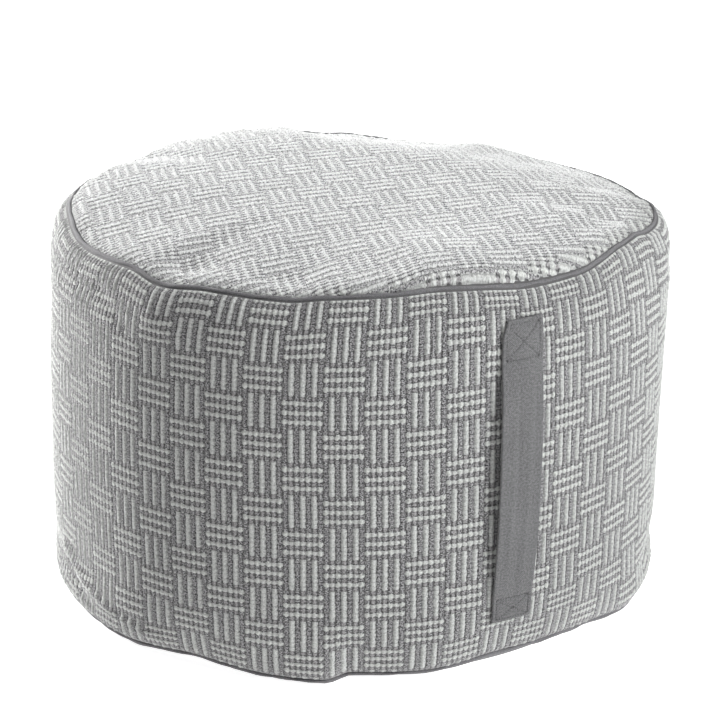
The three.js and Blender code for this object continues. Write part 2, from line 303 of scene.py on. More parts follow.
def countOn(turns, period):  # corners of a face that lies across the start of a map are counted on
    across = np.ptp(turns, axis=1) > period / 2
    return turns + np.where(across[:, None] & (turns < period / 2), period, 0)


def capLoop(points, faces, loop, loopTurn, rings, centre):  # closes a fine loop, by coarser rings
    count = len(rings[0])
    start = len(points)
    points = np.concatenate([points, *rings, centre[None]])
    ringTurn = np.arange(count) * 360 / count
    faces += zipLoops(loop, loopTurn, np.arange(start, start + count), ringTurn)
    faces += tubeFaces(len(rings), count, start)
    last = start + (len(rings) - 1) * count
    for k in range(count):
        faces.append((last + k, last + (k + 1) % count, last + count))
    return points, faces


def setMaps(mesh, weaveMap, bakeMap):
    for name, values in (("weave", weaveMap), ("OFBake", bakeMap)):
        mesh.uv_layers.new(name=name).data.foreach_set("uv", values.astype(np.float32).ravel())


def makeMesh(name, points, faces, *maps):  # closed mesh, faces turned outwards
    mesh = bpy.data.meshes.new(name)
    mesh.from_pydata([tuple(p) for p in points], [], faces)
    if maps:
        setMaps(mesh, *maps)
    piece = bpy.data.objects.new(name, mesh)
    scene.collection.objects.link(piece)
    bpy.ops.object.select_all(action="DESELECT")
    piece.select_set(True)
    bpy.context.view_layer.objects.active = piece
    bpy.ops.object.mode_set(mode="EDIT")
    bpy.ops.mesh.select_all(action="SELECT")
    bpy.ops.mesh.normals_make_consistent(inside=False)
    bpy.ops.object.mode_set(mode="OBJECT")
    mesh.shade_smooth()
    print("stage:", name, len(mesh.polygons), "faces")
    return piece


def raised(surface, a, b, step, lift):  # points of a surface, lifted along its outward normal
    base = surface(a, b)
    normal = np.cross(surface(a + step, b) - base, surface(a, b + step) - base)
    normal /= np.maximum(np.linalg.norm(normal, axis=-1, keepdims=True), 1e-12)
    return base + normal * lift[..., None]


def lengthAlong(x, y):  # from the start of a line of points to each of them
    return np.concatenate([[0], np.cumsum(np.hypot(np.diff(x), np.diff(y)))])


# Side band: a grid that follows the weave, two steps to a rib and three to two rows
side = Sizes(
    ribs=364,
    foot=0.0072,  # heights where the cloth meets the pipings
    head=0.3033,
    crest=0.0008,  # highest yarn above the cloth's middle
    valley=0.0010,  # lowest gap below it
    capSink=0.0042,  # the fill lies this far under the panels' outer faces
    capSegments=96,
    baseRadii=(0.2250, 0.2100, 0.1500, 0.0750),  # rings of its lower face
    step=0.02,  # for the slope of the cloth, in ribs and rows
    tiny=1e-6,
    calm=0.003,  # width beside the seams where the relief dies away
    closes=(0.001, 0.011),  # distances from the top seam in which it closes in on the piping
    held=0.03,  # width beside the seams where pulls, gathers and folds die away
)

profileTurn = np.linspace(0, 1, 1200)
profileHeight = side.foot + (side.head - side.foot) * (0.5 - 0.5 * np.cos(np.pi * profileTurn))
profileRadius = sideRadius(profileHeight)
profileArc = lengthAlong(profileHeight, profileRadius)
midHeight = 0.150  # where the length along the side equals the height
profileArc = profileArc - np.interp(midHeight, profileHeight, profileArc) + midHeight

# Where the cloth has been pulled askew: azimuth, height, width round, tallness, then how far it is
# pulled towards -X and down, in mm
sidePulls = [
    (-105, 160, 160, 150, 12.5, 0), (-90, 85, 220, 140, 0, 7.5), (40, 290, 190, 60, 12, 0),
    (-20, 240, 200, 90, 3.5, 0), (8, 285, 130, 90, 0, -8), (45, 110, 80, 60, -5, 1),
]

# Where the seams gather it: azimuth, height, width round, tallness, spacing of the folds, their
# lean in mm sideways for each mm up, and their depth, in mm
sideGathers = [
    (-90, 298, 62, 24, 8.6, -0.5, 0.9), (-58, 300, 30, 12, 9.5, -0.9, 0.7), (-20, 305, 60, 9, 8.6, 0, 0.35),
    (-96, 20, 46, 15, 8.6, 0.3, 1.0), (-72, 16, 22, 11, 9.5, 0.9, 1.1), (42, 300, 50, 12, 10, 0.6, 0.6),
    (60, 22, 40, 14, 9.5, -0.4, 0.8),
]
# Folds pressed into it: azimuth and height of either end, half width, height, in mm
sideFolds = [
    (-98, 52, -76, 22, 4.5, 3.2), (-76, 22, -64, 13, 4, 2.8), (-99, 38, -82, 13, 4.5, -2.6),
    (-69, 286, -60, 268, 5, 1.2), (-84, 290, -72, 262, 5, -1.2), (34, 14, 58, 22, 5, 1.6),
]


def sideRuffle(azimuth, height):  # gathers and folds, as millimetres outwards
    outward = 0
    for gatherAzimuth, gatherHeight, wide, tall, spacing, lean, deep in sideGathers:
        turn = sideRun(azimuth, gatherAzimuth)
        up = height / mm - gatherHeight
        ripple = np.cos(2 * np.pi * (turn - lean * up) / spacing)
        outward = outward + deep * ripple * bell(turn / wide, up / tall)
    for startAzimuth, startHeight, endAzimuth, endHeight, wide, deep in sideFolds:
        run, rise = sideRun(endAzimuth, startAzimuth), endHeight - startHeight
        length = math.hypot(run, rise)
        turn = sideRun(azimuth, startAzimuth)
        up = height / mm - startHeight
        along = (turn * run + up * rise) / length
        across = (turn * rise - up * run) / length
        ends = smoothStep(-6, 8, along) * smoothStep(-6, 8, length - along)
        outward = outward + deep * ends * bell(0, across / wide)
    return outward


def ribAzimuth(ribs):
    return weave.firstRibAzimuth + ribs * 360 / side.ribs


def sideSurface(ribs, rows):
    arc = weave.firstRowHeight + rows * weave.row
    overCord = pouf.closeIn * (1 - smoothStep(*side.closes, profileArc[-1] - arc))
    azimuth = ribAzimuth(ribs)
    away = smoothStep(0, side.held, np.minimum(arc - profileArc[0], profileArc[-1] - arc))
    aside, down = 0, 0
    for pullAzimuth, pullHeight, wide, tall, pullAside, pullDown in sidePulls:
        share = bell(sideRun(azimuth, pullAzimuth) / wide, (arc / mm - pullHeight) / tall) * mm
        aside, down = aside + pullAside * share, down + pullDown * share
    arc = arc - down * away
    azimuth = azimuth - np.degrees(aside / pouf.bodyRadius)
    radius, height = np.interp(arc, profileArc, profileRadius), np.interp(arc, profileArc, profileHeight)
    placed = settle(radius + sideRuffle(azimuth, height) * away * mm, azimuth, height)
    placed[..., 2] += overCord
    return placed


def makeSide():
    firstRow = (profileArc[0] - weave.firstRowHeight) / weave.row
    lastRow = (profileArc[-1] - weave.firstRowHeight) / weave.row
    thirds = np.arange(math.floor(firstRow) * 3 // 2, math.ceil(lastRow) * 3 // 2 + 3) * 2 / 3 + 1 / 3
    rings = thirds[(thirds > firstRow + 0.45) & (thirds < lastRow - 0.45)]
    rings = np.concatenate([[firstRow], rings, [lastRow]])
    count = side.ribs * 2
    ribs = np.arange(count) / 2
    column = np.floor(ribs / weave.block)
    atEdge = ribs % weave.block == 0
    shift = np.where(atEdge, 0, np.where(column % 2 == 0, -1, 1)) / 6  # rows on every bar of either column
    gridRibs = np.tile(ribs, (len(rings), 1))
    inner = np.ones(len(rings))
    inner[[0, -1]] = 0
    gridRows = rings[:, None] + shift[None, :] * inner[:, None]
    lift = yarnLift(side, gridRibs, gridRows + side.tiny)
    nearEnd = np.minimum(gridRows - firstRow, lastRow - gridRows) * weave.row
    lift = np.where(nearEnd < side.tiny, 0, lift * smoothStep(0, side.calm, nearEnd))
    points = raised(sideSurface, gridRibs, gridRows, side.step, lift).reshape(-1, 3)
    maps = np.stack([gridRibs.ravel(), gridRows.ravel()], -1)

    faces = tubeFaces(len(rings), count)
    gridFaces = len(faces)
    azimuth = ribAzimuth(ribs)
    segments, floorFill = side.capSegments, pouf.baseSeamHeight
    topRings, topCentre = ringsUnderTop(side.capSink, segments)
    baseRings = [levelRing(r, floorFill, segments) for r in side.baseRadii]
    loop = np.arange(count)
    points, faces = capLoop(points, faces, loop + (len(rings) - 1) * count, azimuth, topRings, topCentre)
    points, faces = capLoop(points, faces, loop, azimuth, baseRings, np.array([0, 0, floorFill]))

    corner, faceOf = faceCorners(faces)
    onGrid = faceOf < gridFaces
    weaveMap = np.zeros((len(corner), 2))
    weaveMap[onGrid] = maps[corner[onGrid]]
    quads = weaveMap[onGrid].reshape(-1, 4, 2)
    quads[:, :, 0] = countOn(quads[:, :, 0], side.ribs)
    half = side.ribs / 2
    strip = np.floor(quads[:, :, 0].mean(1) / half)[:, None]
    bakeQuads = np.stack([
        (quads[:, :, 0] - strip * half) / half * 0.98 + 0.01,
        (quads[:, :, 1] - firstRow) / (lastRow - firstRow) * 0.45 + 0.01 + 0.47 * strip,
    ], -1)
    bakeMap = points[corner][:, :2] * 0.05 + [0.5, 0.97]
    bakeMap[onGrid] = bakeQuads.reshape(-1, 2)
    weaveMap[onGrid] = quads.reshape(-1, 2)
    return makeMesh("side_band", points, faces, weaveMap, bakeMap)


# Top panel: a grid that follows its own weave, turned on the round, and cut to the seam
top = Sizes(
    ribsRun=-9.0,  # direction in which the ribs run, in degrees from +X
    ribsStep=73.5,  # direction in which one rib follows another
    stretchAcross=1.065,  # how much wider the ribs lie here than on the side
    stretchAlong=1.07,  # and the rows
    corner=(0.0324, 0.0266),  # where a block starts on the flat panel
    crest=0.0009,
    valley=0.0013,
    reach=(62, 74),  # ribs and rows of the grid on either side of that block
    underSegments=96,
    underEdge=(0.2285, 0.0022),  # outermost ring: radius, and depth below the cloth's edge
    closes=(0.001, 0.009),  # distances from the seam in which it closes in on the piping
    trim=0.0006,  # points nearer than this to the seam are moved onto it
    step=0.0001,
)

topInner = topEdgeRadius - pouf.shoulderWidth
roundOver = np.linspace(0, math.pi / 2, 60)[1:]
topRadius = topInner + pouf.shoulderWidth * np.sin(roundOver)
topRadius = np.concatenate([np.linspace(0, topInner, 240), topRadius])
topHeight = topSurface(topRadius)
topArc = lengthAlong(topRadius, topHeight)


def topAt(x, y):  # a point of the flat panel, laid on the crown
    flat = np.hypot(x, y)
    azimuth = np.degrees(np.arctan2(x, -y))
    overCord = pouf.closeIn * (1 - smoothStep(*top.closes, topArc[-1] - flat))
    placed = settle(np.interp(flat, topArc, topRadius), azimuth, np.interp(flat, topArc, topHeight))
    outward = np.stack([x, y], -1) / np.maximum(flat, 1e-6)[..., None] * math.cos(seamLift)
    placed[..., :2] += outward * overCord[..., None]
    placed[..., 2] -= math.sin(seamLift) * overCord
    return placed


def makeTop():
    run, across = math.radians(top.ribsRun), math.radians(top.ribsStep)
    rib, row = weave.rib * top.stretchAcross, weave.row * top.stretchAlong
    axes = np.array([
        [math.cos(across) * rib, math.sin(across) * rib],
        [math.cos(run) * row, math.sin(run) * row],
    ])
    corner = np.array(top.corner)
    reachRibs, reachRows = top.reach
    ribs, rows = np.meshgrid(np.arange(-reachRibs * 2, reachRibs * 2 + 1) / 2,
                             np.arange(-reachRows * 2, reachRows * 2 + 1) / 2, indexing="ij")
    flat = corner + np.stack([ribs, rows], -1) @ axes
    edge = topArc[-1]
    distance = np.hypot(flat[..., 0], flat[..., 1])
    insideEdge = distance < edge - top.trim
    keep = (insideEdge[:-1, :-1] | insideEdge[1:, :-1] | insideEdge[1:, 1:] | insideEdge[:-1, 1:])
    snapped = np.where(insideEdge[..., None], flat, flat * (edge / np.maximum(distance, 1e-9))[..., None])
    index = np.arange(ribs.size).reshape(ribs.shape)
    quads = np.stack([index[:-1, :-1], index[1:, :-1], index[1:, 1:], index[:-1, 1:]], -1)[keep]
    used, renumbered = np.unique(quads, return_inverse=True)
    quads = renumbered.reshape(quads.shape)
    flatUsed = snapped.reshape(-1, 2)[used]
    cloth = (flatUsed - corner) @ np.linalg.inv(axes)
    onRim = ~insideEdge.ravel()[used]
    lift = yarnLift(top, cloth[:, 0] + side.tiny, cloth[:, 1] + side.tiny)
    nearEnd = edge - np.hypot(flatUsed[:, 0], flatUsed[:, 1])
    lift = lift * smoothStep(0, side.calm, nearEnd)
    points = raised(topAt, flatUsed[:, 0], flatUsed[:, 1], top.step, lift)

    rim = np.nonzero(onRim)[0]
    turn = np.degrees(np.arctan2(flatUsed[rim, 0], -flatUsed[rim, 1])) % 360
    order = np.argsort(turn)
    rim, turn = rim[order], turn[order]
    faces = [tuple(int(n) for n in quad) for quad in quads]
    topFaces = len(faces)
    edgeRadius, edgeDepth = top.underEdge
    underRings, centre = ringsUnderTop(pouf.clothThickness, top.underSegments)
    underRings.insert(0, levelRing(edgeRadius, topEdgeHeight - edgeDepth, top.underSegments))
    points, faces = capLoop(points, faces, rim, turn, underRings, centre)

    corners, faceOf = faceCorners(faces)
    onTop = faceOf < topFaces
    weaveMap = np.zeros((len(corners), 2))
    weaveMap[onTop] = cloth[corners[onTop]]
    bakeMap = points[corners][:, :2] * 0.02 + [0.03, 0.03]
    bakeMap[onTop] = flatUsed[corners[onTop]] / (2 * edge) * 0.98 + 0.5
    return makeMesh("top_cloth", points, faces, weaveMap, bakeMap)


# Base cloth: plain, flat on the floor, with a rounded rim
base = Sizes(
    segments=240,
    rings=(0.25, 0.5, 0.75, 0.9),  # as shares of the flat part
    narrower=0.001,  # how much less far the upper face reaches out
    mapSize=0.52,
)


def makeBase():
    count, heel, thick = base.segments, pouf.heelWidth, pouf.clothThickness
    turns = np.radians(np.linspace(0, 90, 9))
    flatRadius = baseEdgeRadius - heel
    under = [(flatRadius * share, 0.0) for share in base.rings]
    under += [(flatRadius + heel * math.sin(t), baseEdgeHeight * (1 - math.cos(t))) for t in turns]
    over = [(r - base.narrower * r / baseEdgeRadius, z + thick) for r, z in reversed(under)]
    rings = [levelRing(r, z, count) for r, z in under + over]
    points = np.concatenate([*rings, [[0, 0, 0]], [[0, 0, thick]]])
    faces = tubeFaces(len(rings), count)
    low, high = len(points) - 2, len(points) - 1
    last = (len(rings) - 1) * count
    for k in range(count):
        faces.append((k, (k + 1) % count, low))
        faces.append((last + k, last + (k + 1) % count, high))
    clothMap = points[faceCorners(faces)[0]][:, :2]
    bakeMap = clothMap / base.mapSize + 0.5
    return makeMesh("base_cloth", points, faces, clothMap, bakeMap)


# Piping: cord covered in plain cloth, slightly uneven under the stitching
piping = Sizes(
    steps=600,
    sides=16,
    pulledIn=0.60,  # share of the full cord that the stitching leaves
    sunk=0.0005,  # how far it is drawn in between the cloths, more in some places
    swell=0.13,  # share by which it is fatter and thinner along its length
    swells=((17, 1, 1.0), (41, 2, 0.7), (73, 1, 0.5)),  # waves round the seam, their shift and size
    crease=0.00022,
    lanes=12,  # strips in which its bake map lies
)


def makePiping(name, seamRadius, seamHeight, seed):
    bpy.ops.mesh.primitive_torus_add(
        major_radius=seamRadius, minor_radius=pouf.pipingRadius, major_segments=piping.steps,
        minor_segments=piping.sides, location=(0, 0, seamHeight))
    cord = bpy.context.object
    cord.name = cord.data.name = name
    bpy.ops.object.transform_apply(location=True, rotation=True, scale=True)
    co = np.empty(len(cord.data.vertices) * 3)
    cord.data.vertices.foreach_get("co", co)
    co = co.reshape(-1, 3)
    azimuth = np.degrees(np.arctan2(co[:, 0], -co[:, 1]))
    out, up = np.hypot(co[:, 0], co[:, 1]) - seamRadius, co[:, 2] - seamHeight
    turn = np.arctan2(up, out)
    around = np.radians(azimuth)
    swell = sum(size * np.sin(waves * around + shift * seed) for waves, shift, size in piping.swells)
    crease = np.sin(211 * around + 2 * turn + seed) + 0.6 * np.sin(337 * around - 3 * turn)
    fullness = piping.pulledIn + piping.swell * (swell / 2.2 - 0.4)
    minor = pouf.pipingRadius * fullness + piping.crease * crease
    sunk = piping.sunk * (1 + 0.5 * np.sin(9 * around + seed) + 0.4 * np.sin(23 * around))
    placed = settle(seamRadius - sunk + minor * np.cos(turn), azimuth, seamHeight + minor * np.sin(turn))
    cord.data.vertices.foreach_set("co", placed.ravel())
    cord.data.update()
    faceCount = len(cord.data.polygons)
    corner = np.empty(faceCount * 4, np.int32)
    cord.data.loops.foreach_get("vertex_index", corner)
    length, girth = 2 * np.pi * seamRadius, 2 * np.pi * pouf.pipingRadius
    run, ring = (countOn((angle[corner].reshape(-1, 4) / (2 * np.pi)) % 1, 1) for angle in (around, turn))
    while cord.data.uv_layers:
        cord.data.uv_layers.remove(cord.data.uv_layers[0])
    clothMap = np.stack([run * length, ring * girth], -1)
    lanes = piping.lanes
    lane = np.minimum(np.floor(run.mean(1) * lanes), lanes - 1)[:, None]
    bakeMap = np.stack([(run * lanes - lane) * 0.98 + 0.01, (lane + 0.05 + 0.9 * ring / 1.07) / lanes], -1)
    setMaps(cord.data, clothMap, bakeMap)
    cord.data.shade_smooth()
    print("stage:", name, faceCount, "faces")
    return cord


# Carry strap: folded plain cloth, sewn flat at both ends and bowed out between them
strap = Sizes(
    width=0.034,
    thickness=0.0025,
    bottom=0.044,
    top=0.2875,
    sewnBottom=0.066,
    sewnTop=0.256,
    bow=0.0065,
    bowPower=2.3,  # 2 would be a parabola
    aside=-0.0026,
    skew=-0.0020,
    topSlope=0.10,  # rise of the upper edge towards +X
    seat=0.0005,
    step=0.001,
    edgeRound=0.0009,
    hem=0.0042,  # width of the folded edge
    hemCrease=(0.0006, 0.00018),  # its half width and depth
    cornerCut=0.0042,  # the upper left corner is tucked in
    cornerHeight=0.014,
    endRound=0.0016,  # length over which the ends thin out
    endShare=0.45,  # share of the thickness left there
    # each crease: place across, height, half width, half length, rise
    creases=[(-0.0030, 0.185, 0.0016, 0.055, -0.00060), (0.0055, 0.135, 0.0020, 0.060, 0.00055),
             (-0.0075, 0.120, 0.0018, 0.050, 0.00045), (0.0105, 0.205, 0.0016, 0.035, -0.00045),
             (0.0000, 0.090, 0.0014, 0.035, -0.00040)],
)
stitch = Sizes(
    pitch=0.0024,
    length=0.0013,
    width=0.0007,
    inset=0.0032,  # from the strap's sides
    low=0.001,  # of the upper box over the end of the bow
    under=0.0035,  # and under the strap's upper end
    over=0.003,  # of the lower box over its lower end
    sunk=0.00012,
    dimple=0.00045,
    dimpleWidth=0.0011,
)


def strapAt(across, height, depth):
    middle = (strap.top + strap.bottom) / 2
    run = (height - strap.sewnBottom) / (strap.sewnTop - strap.sewnBottom)
    bow = np.where((run > 0) & (run < 1), strap.bow * (1 - np.abs(2 * run - 1) ** strap.bowPower), 0)
    aside = across + strap.aside + strap.skew * (height - middle) / (strap.top - strap.bottom)
    height = height + strap.topSlope * across * smoothStep(strap.sewnTop - 0.02, strap.top, height)
    radius = sideRadius(height) + strap.seat + bow + depth
    return settle(radius, np.degrees(aside / pouf.bodyRadius), height)


def stitchPlaces():  # a crossed box at each sewn end: place and direction of each stitch
    places = []
    half = strap.width / 2 - stitch.inset
    ends = [(strap.sewnTop + stitch.low, strap.top - stitch.under),
            (strap.bottom + stitch.over, strap.sewnBottom)]
    for low, high in ends:
        corners = [(-half, low), (half, low), (half, high), (-half, high)]
        lines = [(corners[i], corners[(i + 1) % 4]) for i in range(4)]
        lines += [(corners[0], corners[2]), (corners[1], corners[3])]
        for (x0, z0), (x1, z1) in lines:
            length = math.hypot(x1 - x0, z1 - z0)
            count = round(length / stitch.pitch)
            for i in range(count):
                t = (i + 0.5) / count
                places.append((x0 + (x1 - x0) * t, z0 + (z1 - z0) * t, math.atan2(z1 - z0, x1 - x0)))
    return places


def makeStrap(places):
    rows = np.arange(strap.bottom, strap.top + strap.step / 2, strap.step)
    half, thick, rounding = strap.width / 2, strap.thickness, strap.edgeRound
    outer = np.linspace(-half + rounding, half - rounding, 35)
    turns = np.linspace(0, math.pi / 2, 5)[1:-1]
    right, upper = half - rounding, thick - rounding  # middles of the rounded corners
    sine, cosine = rounding * np.sin(turns), rounding * np.cos(turns)
    section = np.concatenate([
        np.stack([outer, np.full(len(outer), thick)], -1),
        np.stack([right + sine, upper + cosine], -1),
        [(half, upper), (half, rounding)],
        np.stack([right + cosine, rounding - sine], -1),
        [(x, 0.0) for x in np.linspace(right, -right, 9)],
        np.stack([-right - sine, rounding - cosine], -1),
        [(-half, rounding), (-half, upper)],
        np.stack([-right - cosine, upper + sine], -1),
    ])
    count = len(section)
    across, height = np.meshgrid(section[:, 0], rows)
    depth = np.tile(section[:, 1], (len(rows), 1))

    onFace = smoothStep(thick * 0.55, thick, depth)
    hemWidth, hemDepth = strap.hemCrease
    mold = -hemDepth * bell((np.abs(across) - half + strap.hem) / hemWidth, 0)
    for x, z, wide, tall, lift in strap.creases:
        mold = mold + lift * bell((across - x) / wide, (height - z) / tall)
    for x, z, _ in places:
        dimple = bell((across - x) / stitch.dimpleWidth, (height - z) / stitch.dimpleWidth)
        mold = mold - stitch.dimple * dimple
    endRound = smoothStep(0, strap.endRound, np.minimum(height - strap.bottom, strap.top - height))
    depth = depth + mold * onFace
    depth = thick / 2 + (depth - thick / 2) * (strap.endShare + (1 - strap.endShare) * endRound)
    tuck = strap.cornerCut * smoothStep(strap.cornerHeight, 0, strap.top - height)
    tuck = tuck * smoothStep(-half * 0.2, -half, across)
    points = strapAt(across + tuck, height, depth).reshape(-1, 3)
    faces = tubeFaces(len(rows), count)
    faces.append(tuple(range(count)))
    faces.append(tuple(range((len(rows) - 1) * count, len(rows) * count)))
    corner = faceCorners(faces)[0]
    girth = lengthAlong(*section.T)
    flat = np.stack([np.tile(girth, len(rows)), np.repeat(rows, count)], -1)
    clothMap = flat[corner]
    total = girth[-1] + 0.001
    wraps = clothMap[:-2 * count].reshape(-1, 4, 2)
    wraps[:, :, 0] = countOn(wraps[:, :, 0], total)
    bakeMap = (clothMap - [0, strap.bottom]) / (strap.top - strap.bottom) * 0.98 + 0.01
    return makeMesh("carry_strap", points, faces, clothMap, bakeMap)


def makeStitches(places):  # one stitch is modelled, then copied to every place
    bpy.ops.mesh.primitive_uv_sphere_add(segments=8, ring_count=6, radius=0.5)
    one = bpy.context.object
    bpy.ops.object.mode_set(mode="EDIT")
    bpy.ops.mesh.select_all(action="SELECT")
    bpy.ops.transform.rotate(value=math.pi / 2, orient_axis="Y", center_override=(0, 0, 0))
    bpy.ops.transform.resize(value=(stitch.length, stitch.width, stitch.width))
    bpy.ops.object.mode_set(mode="OBJECT")
    shape = np.array([v.co for v in one.data.vertices])
    shapeFaces = [tuple(p.vertices) for p in one.data.polygons]
    bpy.data.objects.remove(one)
    points, faces = [], []
    for x, z, turn in places:
        x, z = np.array(x), np.array(z)
        step, thick = 0.0005, strap.thickness
        here = strapAt(x, z, thick)
        right, up = strapAt(x + step, z, thick) - here, strapAt(x, z + step, thick) - here
        along = math.cos(turn) * right + math.sin(turn) * up
        along /= np.linalg.norm(along)
        out = np.cross(right, up)
        out /= np.linalg.norm(out)
        start = sum(len(p) for p in points)
        axes = np.stack([along, np.cross(out, along), out])
        points.append(strapAt(x, z, thick - stitch.sunk) + shape @ axes)
        faces += [tuple(n + start for n in face) for face in shapeFaces]
    return makeMesh("strap_stitches", np.concatenate(points), faces)


sideBand = makeSide()
topCloth = makeTop()
baseCloth = makeBase()
topPiping = makePiping("top_cord", pouf.topSeamRadius, pouf.topSeamHeight, 1.3)
basePiping = makePiping("base_cord", pouf.baseSeamRadius, pouf.baseSeamHeight, 4.1)
places = stitchPlaces()
carryStrap = makeStrap(places)
stitches = makeStitches(places)


def setInputs(tree, node, inputs):  # each as a value or as a link
    for key, value in inputs.items():
        if isinstance(value, bpy.types.NodeSocket):
            tree.links.new(value, node.inputs[key])
        else:
            node.inputs[key].default_value = value


def addNode(tree, kind, inputs={}, **settings):
    made = tree.nodes.new(kind)
    for key, value in settings.items():
        setattr(made, key, value)
    setInputs(tree, made, inputs)
    return made


def maths(tree, operation, *values):
    return addNode(tree, "ShaderNodeMath", dict(enumerate(values)), operation=operation).outputs[0]


def times(tree, value, factor):
    return maths(tree, "MULTIPLY", value, factor)


def timesPlus(tree, value, factor, extra):
    return maths(tree, "MULTIPLY_ADD", value, factor, extra)


def ease(tree, value, start, end, low=0.0, high=1.0):  # smoothly from low at start to high at end
    inputs = {0: value, 1: start, 2: end, 3: low, 4: high}
    return addNode(tree, "ShaderNodeMapRange", inputs, interpolation_type="SMOOTHSTEP").outputs[0]


def vectors(tree, operation, *values):
    return addNode(tree, "ShaderNodeVectorMath", dict(enumerate(values)), operation=operation).outputs


def scaled(tree, vector, factor):
    return addNode(tree, "ShaderNodeVectorMath", {0: vector, "Scale": factor}, operation="SCALE").outputs[0]


def parts(tree, vector):
    return addNode(tree, "ShaderNodeSeparateXYZ", {0: vector}).outputs[:2]


def noise(tree, place, scale, detail=2.0, roughness=0.5):
    inputs = {"Vector": place, "Scale": scale, "Detail": detail, "Roughness": roughness}
    return addNode(tree, "ShaderNodeTexNoise", inputs).outputs


def wave(tree, value, scale, offset, low=0.0, high=1.0):  # cosine from low to high
    turned = maths(tree, "COSINE", times(tree, maths(tree, "ADD", value, offset), scale))
    return timesPlus(tree, turned, (high - low) / 2, (high + low) / 2)


def newGroup(name, inputs, outputs):
    tree = bpy.data.node_groups.new(name, "ShaderNodeTree")
    for key, kind, value in inputs:
        made = tree.interface.new_socket(name=key, in_out="INPUT", socket_type="NodeSocket" + kind)
        if value is not None:
            made.default_value = value
    for key, kind in outputs:
        tree.interface.new_socket(name=key, in_out="OUTPUT", socket_type="NodeSocket" + kind)
    return tree, tree.nodes.new("NodeGroupInput").outputs, tree.nodes.new("NodeGroupOutput")


def useGroup(tree, group, inputs):
    return addNode(tree, "ShaderNodeGroup", inputs, node_tree=group).outputs


# Outline of the pale bars: slope and start of each mask, and what the crossing yarns add to it
outline = {
    "weftBar": (2.0, -0.98),
    "weftRib": -0.46,
    "weftBead": 0.49,
    "warpBar": (2.0, -0.94),
    "warpBead": 0.22,
    "warpRow": 0.14,
}


def basketGroup():  # pale bars on heathered grey, from cloth coordinates counted in ribs and rows
    tree, given, result = newGroup(
        "basketWeave",
        [("Cloth", "Vector", None), ("Wobble", "Float", 0.7), ("Edge", "Float", 0.4),
         ("Spread", "Float", 0.0)],
        [("Pale", "Float"), ("Warp", "Float"), ("Strip", "Float"), ("Lift", "Float"), ("Body", "Float")],
    )
    wander = noise(tree, given["Cloth"], 1.3, 4.0, 0.62)["Color"]
    offset = scaled(tree, vectors(tree, "SUBTRACT", wander, (0.5, 0.5, 0.5))[0], given["Wobble"])
    moved = vectors(tree, "ADD", given["Cloth"], offset)[0]
    ribs, rows = parts(tree, moved)
    size = float(weave.block)
    column, course = (maths(tree, "FLOOR", maths(tree, "DIVIDE", n, size))
                      for n in parts(tree, given["Cloth"]))
    runsAlong = maths(tree, "FLOORED_MODULO", maths(tree, "ADD", column, course), 2.0)
    localRib = maths(tree, "SUBTRACT", ribs, times(tree, column, size))
    localRow = maths(tree, "SUBTRACT", rows, times(tree, course, size))
    paleRib = wave(tree, localRib, math.pi, -1.5)
    paleRow = wave(tree, localRow, math.pi, -1.5)
    beadRib = wave(tree, ribs, 2 * math.pi, -0.5)
    beadRow = wave(tree, rows, 2 * math.pi, -0.5)

    def choose(across, along):
        mixed = {0: runsAlong, 2: across, 3: along}
        return addNode(tree, "ShaderNodeMix", mixed, data_type="FLOAT").outputs[0]

    def drawn(bar, barName, *others):  # a bar's outline, with what each crossing yarn adds
        total = timesPlus(tree, bar, *outline[barName])
        for place, name in others:
            total = timesPlus(tree, place, outline[name], total)
        return total

    def raisedBy(*places):  # the same heights as in weaveRelief
        total = 1.0
        for place, name in places:
            thin, more = yarns[name]
            total = times(tree, total, timesPlus(tree, place, more, thin))
        return total

    weft = drawn(paleRow, "weftBar", (paleRib, "weftRib"), (beadRib, "weftBead"))
    warp = drawn(paleRib, "warpBar", (beadRow, "warpBead"), (paleRow, "warpRow"))
    pale = ease(tree, maths(tree, "ADD", choose(weft, warp), given["Spread"]), 0.0, given["Edge"])

    ribRound, rowRound = maths(tree, "SQRT", beadRib), maths(tree, "SQRT", beadRow)
    weftLift = raisedBy((paleRow, "weftBar"), (rowRound, "weftAcross"), (ribRound, "weftBead"),
                        (paleRib, "weftOnRib"))
    warpLift = raisedBy((paleRib, "warpBar"), (beadRow, "warpAlong"), (ribRound, "warpAcross"))
    setInputs(tree, result, {
        "Pale": pale,
        "Warp": choose(paleRib, 1.0),
        "Strip": paleRib,
        "Lift": choose(weftLift, warpLift),
        # the yarns' height without the pale bars, which sets where shade is painted into the gaps
        "Body": times(tree, ribRound, raisedBy((beadRow, "weftAcross"))),
    })
    return tree


def fibreGroup():  # spun fibres: fine light and dark flecks, and a soft cloudiness
    tree, given, result = newGroup(
        "spunFibre",
        [("Cloth", "Vector", None), ("Fleck scale", "Float", 5.0), ("Cloud scale", "Float", 0.05)],
        [("Fleck", "Float"), ("Cloud", "Float"), ("Fuzz", "Float")],
    )
    fleck = noise(tree, given["Cloth"], given["Fleck scale"], roughness=0.6)[0]
    fine = times(tree, given["Fleck scale"], 3.0)
    setInputs(tree, result, {
        "Fleck": addNode(tree, "ShaderNodeMapRange", {0: fleck, 1: 0.38, 2: 0.62}).outputs[0],
        "Cloud": noise(tree, given["Cloth"], given["Cloud scale"])[0],
        "Fuzz": noise(tree, given["Cloth"], fine)[0],
    })
    return tree


def canvasGroup():  # plain weave of fine yarns, from cloth coordinates in metres
    tree, given, result = newGroup(
        "plainCanvas",
        [("Cloth", "Vector", None), ("Yarns per metre", "Float", 1300.0)],
        [("Lift", "Float")],
    )
    counted = scaled(tree, given["Cloth"], given["Yarns per metre"])
    warp, weft = (wave(tree, n, math.pi, 0.0, -1.0, 1.0) for n in parts(tree, counted))
    setInputs(tree, result, {"Lift": timesPlus(tree, times(tree, warp, weft), 0.5, 0.5)})
    return tree


